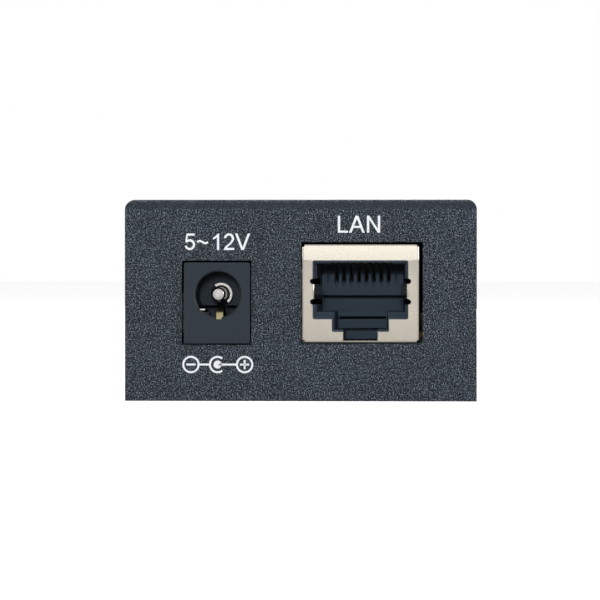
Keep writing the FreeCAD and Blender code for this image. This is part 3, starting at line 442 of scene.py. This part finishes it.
# The gilt's dark brown is a painted shade for the contacts deep in the port's cavity, not the colour of gold.
FINISHES["gilt"] = make_turned_metal("gold flash over nickel darkened as painted shade", "6b5832", 0.36)
FINISHES["tin"] = make_turned_metal("matt tin plate", "c4c4c2", 0.4)
print(len(FINISHES), "finishes so far")


# %% [markdown]
# ## Moulded plastics
# The jacks' bodies are glass-filled plastic. Straight from a spark-eroded tool it has a very fine matt grain
# and a weak broad shine, so it reads dark grey rather than black in soft light. Chips are moulded in epoxy,
# which is duller still. Where the plastic flowed into the tool, its gloss varies in long soft patches.

# %% Moulded plastics and ceramics
FLOW = 2.5
FLOW_RUN = (1, 1, 0.4)


def make_moulding(name, code, roughness, grain=0.12, depth=0.006):
    """A moulded or fired body with a grain of this width and depth in mm."""
    material, tree = new_finish(name)
    place = add(tree, "TexCoord").outputs["Object"]
    pits = add(tree, "TexNoise", Vector=place, Scale=pattern_scale(grain)).outputs["Fac"]
    along = add(tree, "Mapping", Vector=place, Scale=FLOW_RUN).outputs["Vector"]
    flow = add(tree, "TexNoise", Vector=along, Scale=pattern_scale(FLOW)).outputs["Fac"]
    gloss = add(tree, "MapRange", Value=flow, To_Min=roughness - 0.06, To_Max=roughness + 0.08)
    bump = add(tree, "Bump", Height=pits, Distance=depth * MM, Strength=0.5)
    shader = add(tree, "BsdfPrincipled", Base_Color=linear(code), Roughness=gloss.outputs["Result"],
                 Normal=bump.outputs["Normal"], IOR=PLASTIC_IOR, Specular_IOR_Level=MATT_SPECULAR)
    add(tree, "OutputMaterial", Surface=shader.outputs["BSDF"])
    return material


FINISHES["black_plastic"] = make_moulding("black glass-filled PBT", "31373e", 0.5)
FINISHES["port_plastic"] = make_moulding("blue-black liquid-crystal polymer", "36414c", 0.42, 0.2, 0.012)
FINISHES["chip_black"] = make_moulding("matt black epoxy", "26272a", 0.6, 0.08)
FINISHES["ferrite"] = make_moulding("sintered ferrite", "3a3a3a", 0.7, 0.15, 0.02)
FINISHES["ceramic_tan"] = make_moulding("fired ceramic", "a07a52", 0.45)
print(len(FINISHES), "finishes so far")


# %% [markdown]
# ## Lamp lenses
# A lamp is cast in tinted clear epoxy. About half of the light goes through it, and its skin is almost
# polished.

# %% Lenses
CASTING_CLOUD = 1.0


def make_lens(name, code):
    """The tinted clear epoxy of a lamp."""
    material, tree = new_finish(name)
    place = add(tree, "TexCoord").outputs["Object"]
    cloud = add(tree, "TexNoise", Vector=place, Scale=pattern_scale(CASTING_CLOUD)).outputs["Fac"]
    gloss = add(tree, "MapRange", Value=cloud, To_Min=0.08, To_Max=0.2).outputs["Result"]
    shader = add(tree, "BsdfPrincipled", Base_Color=linear(code), Roughness=gloss, IOR=PLASTIC_IOR,
                 Transmission_Weight=0.55)
    add(tree, "OutputMaterial", Surface=shader.outputs["BSDF"])
    return material


FINISHES["red_lens"] = make_lens("red tinted epoxy", "c01818")
FINISHES["green_lens"] = make_lens("green tinted epoxy", "2fb24a")
print(len(FINISHES), "finishes so far")


# %% [markdown]
# ## Circuit board
# The board is glass-filled epoxy under green solder resist. The resist is glossy and shows the copper beneath
# as slightly lighter, raised runs. Real runs follow straight lanes, so the pattern is made of narrow bands in
# two directions: one noise chooses the direction, and another breaks the bands up.

# %% Board resist
LANE = 1.3
RUN_SHARE = 0.28
DISTRICT = 7.0
BREAK = 3.0


def make_resist():
    """Glossy green resist, with lanes of copper showing through it."""
    material, tree = new_finish("green solder resist over copper")
    place = add(tree, "TexCoord").outputs["Object"]
    position = add(tree, "SeparateXYZ", Vector=place)
    lanes = []
    for axis in ("X", "Y"):
        across = add(tree, "Math", {"operation": "MULTIPLY"}, i0=position.outputs[axis],
                     i1=pattern_scale(LANE))
        within = add(tree, "Math", {"operation": "FRACT"}, i0=across.outputs["Value"])
        lane = add(tree, "Math", {"operation": "LESS_THAN"}, i0=within.outputs["Value"], i1=RUN_SHARE)
        lanes.append(lane.outputs["Value"])
    district = add(tree, "TexNoise", Vector=place, Scale=pattern_scale(DISTRICT), Detail=0.0).outputs["Fac"]
    chosen = add(tree, "Math", {"operation": "GREATER_THAN"}, i0=district, i1=0.52).outputs["Value"]
    run = add(tree, "Mix", NUMBER_MIX, i0=chosen, i2=lanes[0], i3=lanes[1]).outputs[0]
    gaps = add(tree, "TexNoise", Vector=place, Scale=pattern_scale(BREAK), Detail=0.0).outputs["Fac"]
    kept = add(tree, "Math", {"operation": "GREATER_THAN"}, i0=gaps, i1=0.45).outputs["Value"]
    copper = add(tree, "Math", {"operation": "MULTIPLY"}, i0=run, i1=kept).outputs["Value"]
    colour = add(tree, "ValToRGB", stops=((0.0, "0b4327"), (1.0, "187a45")), Fac=copper).outputs["Color"]
    bump = add(tree, "Bump", Height=copper, Distance=0.03 * MM, Strength=0.5).outputs["Normal"]
    shader = add(tree, "BsdfPrincipled", Base_Color=colour, Roughness=0.28, Normal=bump, IOR=PLASTIC_IOR)
    add(tree, "OutputMaterial", Surface=shader.outputs["BSDF"])
    return material


FINISHES["board_green"] = make_resist()
print("the resist's tree has", len(FINISHES["board_green"].node_tree.nodes), "nodes")


# %% [markdown]
# ## Which finish goes where
# The record says which slot each solid takes its finish from, so every node and every finished copy gets the
# finish of its slot.

# %% Dress the nodes and the copies
SLOT_OF = {entry["node"]: entry["material_slot"] for entry in frame["record"]["subparts"]}


def dress(piece, slot):
    """Gives the piece this slot's finish and nothing else."""
    piece.data.materials.clear()
    piece.data.materials.append(FINISHES[slot])


for dressed in (frame["nodes"], FINISHED):
    for name, thing in dressed.items():
        dress(thing, SLOT_OF[name])
print(len(frame["nodes"]), "nodes and", len(FINISHED), "copies dressed in", len(FINISHES), "finishes")


# %% [markdown]
# ## Printed marks
# The marks are screen printed in white ink, a film a few hundredths of a millimetre thick that follows the
# grain of the paint. Each mark is a flat mesh laid just on the paint: one function gives it the ink, its name
# and its body.

# %% White ink
FILM = 0.02
INK_FRONT = FRONT_Y - FILM * MM
# The ink is darker where the grain is low: painted shade in the grain's pits.
INK_PIT_SHADE_COLOURS = ((0.3, "d5d9df"), (0.55, "f4f6fa"))


def make_ink():
    """White ink that follows the coat's grain, with painted shade where the grain is low."""
    material, tree = new_finish("white screen-printing ink")
    place = add(tree, "TexCoord").outputs["Object"]
    grains = add(tree, "TexNoise", Vector=place, **GRAIN_NOISE).outputs["Fac"]
    # Painted shade in the pits, lighter ink on the crowns.
    colour = add(tree, "ValToRGB", stops=INK_PIT_SHADE_COLOURS, Fac=grains).outputs["Color"]
    bump = add(tree, "Bump", Height=grains, Distance=0.05 * MM, Strength=0.4).outputs["Normal"]
    shader = add(tree, "BsdfPrincipled", Base_Color=colour, Roughness=0.5, Normal=bump, IOR=PLASTIC_IOR)
    add(tree, "OutputMaterial", Surface=shader.outputs["BSDF"])
    return material


INK = make_ink()


def finish_mark(piece, name):
    """Names a printed mark and gives it the ink, its place in its mesh, and its body."""
    piece.name = name
    piece.data.materials.clear()
    piece.data.materials.append(INK)
    settle(piece)
    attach(piece, "root")
    return piece


print("the ink's front is", round((FRONT_Y - INK_FRONT) / MM, 3), "mm before the paint")


# %% [markdown]
# ## Letters and figures
# The letters are plain upright sans-serif capitals, 0.14 of their height thick in the stem. Each sign is
# drawn from its own outlines in capital heights, from its left end and the baseline: straight stems by their
# corners, bowls as short steps along an oval, and the swung dash as one period of a wave.

# %% Arcs and the swung dash
STEM = 0.14


def oval(x, z, wide, high, start, end, steps=14):
    """Points along an oval from one angle to another, in degrees."""
    turns = [math.radians(start + (end - start) * i / steps) for i in range(steps + 1)]
    return [(x + wide * math.cos(t), z + high * math.sin(t)) for t in turns]


def wave(wide, rise, thick, middle=0.48, steps=24):
    """A swung dash: one period of a wave about this middle height, thick all along."""
    upper, lower = [], []
    for i in range(steps + 1):
        turn = 2 * math.pi * i / steps
        slope = rise * math.cos(turn) * 2 * math.pi / wide
        length = math.hypot(1, slope)
        x, z = wide * i / steps, middle + rise * math.sin(turn)
        upper.append((x - slope / length * thick / 2, z + thick / 2 / length))
        lower.append((x + slope / length * thick / 2, z - thick / 2 / length))
    return upper + lower[::-1]


print("a quarter of a circle in", len(oval(0, 0, 1, 1, 0, 90)), "points")


# %% [markdown]
# The A and the V are one shape turned over: two legs that slant by the same amount and meet in a flat tip. So
# their corners are worked out from the slant, the leg's width and the tip's.

# %% Outlines of the letters
SLANT = 0.385
LEG = 0.15
TIP = 0.16
A_WIDTH = 2 * SLANT + TIP
A_CROTCH = (A_WIDTH / 2 - LEG) / SLANT
BAR_LOW, BAR_TOP = 0.28, 0.4
N_WIDTH = 0.78
N_CORNER = 0.22
ARM = STEM * 0.9


def inner_leg(z):
    """How far in the inner edge of the A's left leg is at this height."""
    return LEG + SLANT * z


LETTERS = {
    "L": [[(0, 0), (0.6, 0), (0.6, ARM), (STEM, ARM), (STEM, 1), (0, 1)]],
    "A": [
        [(0, 0), (LEG, 0), (inner_leg(BAR_LOW), BAR_LOW), (A_WIDTH - inner_leg(BAR_LOW), BAR_LOW),
         (A_WIDTH - LEG, 0), (A_WIDTH, 0), (A_WIDTH - SLANT, 1), (SLANT, 1)],
        [(inner_leg(BAR_TOP), BAR_TOP), (A_WIDTH - inner_leg(BAR_TOP), BAR_TOP), (A_WIDTH / 2, A_CROTCH)],
    ],
    "N": [[(0, 0), (STEM, 0), (STEM, 1 - N_CORNER), (N_WIDTH - STEM, 0), (N_WIDTH, 0), (N_WIDTH, 1),
           (N_WIDTH - STEM, 1), (N_WIDTH - STEM, N_CORNER), (STEM, 1), (0, 1)]],
    "V": [[(0, 1), (LEG, 1), (A_WIDTH / 2, 1 - A_CROTCH), (A_WIDTH - LEG, 1), (A_WIDTH, 1),
           (A_WIDTH - SLANT, 0), (SLANT, 0)]],
    "1": [[(0.24, 0), (0.24 + STEM, 0), (0.24 + STEM, 1), (0.3, 1), (0.245, 0.925), (0.17, 0.855),
           (0.085, 0.795), (0, 0.755), (0, 0.63), (0.09, 0.665), (0.17, 0.71), (0.24, 0.77)]],
    "2": [oval(0.325, 0.695, 0.305, 0.315, 174, -32)
          + [(0.45, 0.365), (0.3, 0.235), (0.2, 0.13), (0.64, 0.13), (0.64, 0), (0, 0), (0.02, 0.075),
             (0.09, 0.19), (0.22, 0.31), (0.36, 0.43), (0.45, 0.54)]
          + oval(0.325, 0.695, 0.165, 0.18, -26, 174)],
    "5": [[(0.6, 1), (0.12, 1), (0.03, 0.475)] + oval(0.31, 0.325, 0.185, 0.195, 140, -164)
          + oval(0.31, 0.325, 0.325, 0.335, -164, 118) + [(0.2, 0.87), (0.6, 0.87)]],
    "~": [wave(0.72, 0.07, ARM)],
}
print("outlines of", len(LETTERS), "signs")


# %% [markdown]
# A sign is a filled flat curve: outlines that lie inside others become holes, as the A's window does. It is
# made at its size with the film's thickness, turned into a mesh, and stood up against the panel.

# %% Print the words
VOLTAGE_SIGNS = "5~12V"
VOLTAGE_LEFTS = (-15.8, -14.1, -11.92, -10.48, -8.92)
VOLTAGE_WIDTHS = (1.44, 1.62, 0.84, 1.46, 2.08)
VOLTAGE_BASE, VOLTAGE_HEIGHT = 20.6, 2.26
PORT_SIGNS = "LAN"
PORT_LEFTS = (5.1, 6.62, 9.06)
PORT_BASE, PORT_HEIGHT = 22.95, 2.32


def letter(sign, name, left, base, height, width=None):
    """One printed sign, its lower left corner here in mm on the panel, as wide as told or as it is drawn."""
    outlines = LETTERS[sign]
    natural = max(x for x, z in outlines[0]) - min(x for x, z in outlines[0])
    wide = (width / natural if width else height) * MM
    shape = bpy.data.curves.new(name, "CURVE")
    shape.dimensions = "2D"
    shape.fill_mode = "BOTH"
    shape.extrude = FILM / 2 * MM
    for outline in outlines:
        spline = shape.splines.new("POLY")
        spline.points.add(len(outline) - 1)
        for point, (x, z) in zip(spline.points, outline):
            point.co = (x * wide, z * height * MM, 0, 1)
        spline.use_cyclic_u = True
    piece = bpy.data.objects.new(name, shape)
    bpy.context.collection.objects.link(piece)
    pick(piece)
    bpy.ops.object.convert(target="MESH")
    piece = bpy.context.object
    piece.rotation_euler = (math.pi / 2, 0, 0)
    piece.location = (left * MM, INK_FRONT, base * MM)
    return finish_mark(piece, name)


for number, (sign, left, width) in enumerate(zip(VOLTAGE_SIGNS, VOLTAGE_LEFTS, VOLTAGE_WIDTHS)):
    printed = letter(sign, f"print_voltage_{number}", left, VOLTAGE_BASE, VOLTAGE_HEIGHT, width)
    print(printed.name, triangles(printed), "triangles")
for number, (sign, left) in enumerate(zip(PORT_SIGNS, PORT_LEFTS)):
    printed = letter(sign, f"print_port_{number}", left, PORT_BASE, PORT_HEIGHT)
    print(printed.name, triangles(printed), "triangles")


# %% [markdown]
# ## The polarity symbol
# It is a row of three signs joined by short lines: minus in a ring, an open ring with a dot, and plus in a
# ring. A ring is a disc whose middle is inset and taken out, given the film's thickness; the open one loses
# the faces on its right. The bars and the dot are squashed primitives.

# %% Bars and rings
STROKE = 0.27
SYMBOL_Z = 4.98
RING_R = 1.05
RING_EDGE = RING_R + STROKE / 2


def bar(x, z, length, height, name):
    """A printed bar about this point, in mm."""
    bpy.ops.mesh.primitive_cube_add(size=1, location=(x * MM, INK_FRONT, z * MM))
    piece = bpy.context.object
    piece.scale = (length * MM, FILM * MM, height * MM)
    return finish_mark(piece, name)


def ring(x, name, gap=0):
    """A printed ring, open to the right by this many degrees above and below the row if a gap is given."""
    bpy.ops.mesh.primitive_circle_add(vertices=96, radius=RING_EDGE * MM, fill_type="NGON")
    piece = bpy.context.object
    pick(piece)
    bpy.ops.object.mode_set(mode="EDIT")
    bpy.ops.mesh.select_all(action="SELECT")
    bpy.ops.mesh.inset(thickness=STROKE * MM, use_boundary=True)
    bpy.ops.mesh.delete(type="FACE")
    bpy.ops.object.mode_set(mode="OBJECT")
    if gap:
        for face in piece.data.polygons:
            face.select = abs(math.degrees(math.atan2(face.center.y, face.center.x))) < gap
        bpy.ops.object.mode_set(mode="EDIT")
        bpy.ops.mesh.delete(type="FACE")
        bpy.ops.object.mode_set(mode="OBJECT")
    solid = piece.modifiers.new("film", "SOLIDIFY")
    solid.thickness = FILM * MM
    bpy.ops.object.modifier_apply(modifier=solid.name)
    piece.rotation_euler = (math.pi / 2, 0, 0)
    piece.location = (x * MM, INK_FRONT, SYMBOL_Z * MM)
    return finish_mark(piece, name)


print("rings of", 2 * RING_R, "mm, drawn", STROKE, "mm thick")

# %% Print the symbol
MINUS_X, DOT_X, PLUS_X = -14.95, -11.3, -7.61
SIGN_LENGTH = 1.25
DOT_R = 0.55
RING_GAP = 51
LEFT_OVERLAP = 0.1
RIGHT_SHIFT = 0.2

ring(MINUS_X, "print_minus_ring")
bar(MINUS_X, SYMBOL_Z, SIGN_LENGTH, STROKE, "print_minus")
ring(PLUS_X, "print_plus_ring")
bar(PLUS_X, SYMBOL_Z, SIGN_LENGTH, STROKE, "print_plus_across")
bar(PLUS_X, SYMBOL_Z, STROKE, SIGN_LENGTH, "print_plus_up")
ring(DOT_X, "print_open_ring", RING_GAP)
bpy.ops.mesh.primitive_cylinder_add(vertices=48, radius=DOT_R * MM, depth=FILM * MM,
                                    rotation=(math.pi / 2, 0, 0),
                                    location=(DOT_X * MM, INK_FRONT, SYMBOL_Z * MM))
finish_mark(bpy.context.object, "print_dot")
left_length = DOT_X - MINUS_X - 2 * RING_EDGE + LEFT_OVERLAP
bar((MINUS_X + DOT_X) / 2, SYMBOL_Z, left_length, STROKE, "print_left_line")
right_length = PLUS_X - DOT_X - RING_EDGE
bar((DOT_X + PLUS_X - RING_EDGE) / 2 + RIGHT_SHIFT, SYMBOL_Z, right_length, STROKE, "print_right_line")
print("joined by lines of", round(left_length, 2), "and", round(right_length, 2), "mm")


# %% [markdown]
# ## The floor
# The studio is a white sweep. The floor is pale and matt. To the camera it also glows, and in reflections a
# little, so that it reads as plain white while the box still leaves a soft shadow.

# %% White floor
FLOOR_GAP = 0.02
FLOOR_SEEN = 0.86
FLOOR_MIRRORED = 0.28


def make_paper():
    """Matt paper that adds its own glow where it is seen directly or in a reflection."""
    material, tree = new_finish("white matt paper")
    rays = add(tree, "LightPath").outputs
    seen = add(tree, "Math", {"operation": "MAXIMUM"}, i0=rays["Is Camera Ray"],
               i1=rays["Is Transmission Ray"])
    direct = add(tree, "Math", {"operation": "MULTIPLY"}, i0=seen.outputs["Value"], i1=FLOOR_SEEN)
    mirrored = add(tree, "Math", {"operation": "MULTIPLY"}, i0=rays["Is Glossy Ray"], i1=FLOOR_MIRRORED)
    share = add(tree, "Math", {"operation": "ADD"}, i0=direct.outputs["Value"], i1=mirrored.outputs["Value"])
    paper = add(tree, "BsdfDiffuse", Color=linear("e6e6e6")).outputs["BSDF"]
    glow = add(tree, "Emission", Color=(1, 1, 1, 1), Strength=share.outputs["Value"]).outputs["Emission"]
    both = add(tree, "AddShader", i0=paper, i1=glow).outputs["Shader"]
    add(tree, "OutputMaterial", Surface=both)
    return material


bpy.ops.mesh.primitive_plane_add(size=8, location=(0, 0, CAD_BOX[0][2] - FLOOR_GAP * MM))
floor = bpy.context.object
floor.name = "floor"
floor.data.materials.append(make_paper())
print("the floor lies at", round(floor.location.z / MM, 2), "mm")


# %% [markdown]
# ## The light
# The key light stands behind the camera and a little higher, so that it reaches deep into both jacks. It
# shows in no reflection; a narrow strip of light above it is what the port's leaning top band mirrors. Three
# soft boxes light the sides and the back. The world fills in evenly, and looks white to the camera, through
# glass and in reflections.

# %% World and soft boxes
FILL = 0.12


def make_world():
    """Plain white all round, dimmed to FILL where it lights matt surfaces."""
    world = bpy.data.worlds.new("studio")
    bpy.context.scene.world = world
    world.use_nodes = True
    tree = world.node_tree
    tree.nodes.clear()
    rays = add(tree, "LightPath").outputs
    seen = add(tree, "Math", {"operation": "MAXIMUM"}, i0=rays["Is Camera Ray"], i1=rays["Is Glossy Ray"])
    white = add(tree, "Math", {"operation": "MAXIMUM"}, i0=seen.outputs["Value"],
                i1=rays["Is Transmission Ray"])
    strength = add(tree, "Mix", NUMBER_MIX, i0=white.outputs["Value"], i2=FILL, i3=1.0).outputs[0]
    glow = add(tree, "Background", Color=(1, 1, 1, 1), Strength=strength)
    add(tree, "OutputWorld", Surface=glow.outputs["Background"])


def soft_box(name, place, target, size, watts, mirrored=True):
    """An area light of this width and height in metres, turned towards its target."""
    bpy.ops.object.light_add(type="AREA", location=place)
    lamp = bpy.context.object
    lamp.name = name
    lamp.data.shape = "RECTANGLE"
    lamp.data.size, lamp.data.size_y = size
    lamp.data.energy = watts
    lamp.visible_glossy = mirrored
    lamp.rotation_euler = (Vector(target) - Vector(place)).to_track_quat("-Z", "Y").to_euler()
    print(name, watts, "W")


make_world()
soft_box("front soft box", (0.005, -0.95, 0.125), (0, 0, 0.014), (0.1, 0.1), 4.8, mirrored=False)
soft_box("strip light", (-0.015, -0.94, 0.16), (0, 0, 0.02), (0.2, 0.04), 0.075)
soft_box("right soft box", (0.85, -0.25, 0.3), (0, 0, 0.01), (0.4, 0.4), 5.0)
soft_box("left soft box", (-0.85, 0.1, 0.3), (0, 0, 0.01), (0.4, 0.4), 5.0)
soft_box("back soft box", (0.1, 0.85, 0.3), (0, 0, 0.01), (0.4, 0.4), 5.0)


# %% [markdown]
# ## The camera
# The box is seen almost straight on, from 400 mm with a long lens and a little from the right.

# %% Camera
CAMERA_PLACE = (18.1 * MM, FRONT_Y - 399.6 * MM, 18.0 * MM)
CAMERA_TARGET = (-0.05 * MM, FRONT_Y, 13.79 * MM)
bpy.ops.object.camera_add(location=CAMERA_PLACE)
camera = bpy.context.object
camera.data.lens = 176.2
camera.data.sensor_width = 36
camera.data.clip_start = 0.01
camera.rotation_euler = (Vector(CAMERA_TARGET) - Vector(CAMERA_PLACE)).to_track_quat("-Z", "Y").to_euler()
bpy.context.scene.camera = camera
bpy.context.scene.view_settings.view_transform = "Standard"
print("camera turned by", [round(math.degrees(a), 2) for a in camera.rotation_euler], "degrees")
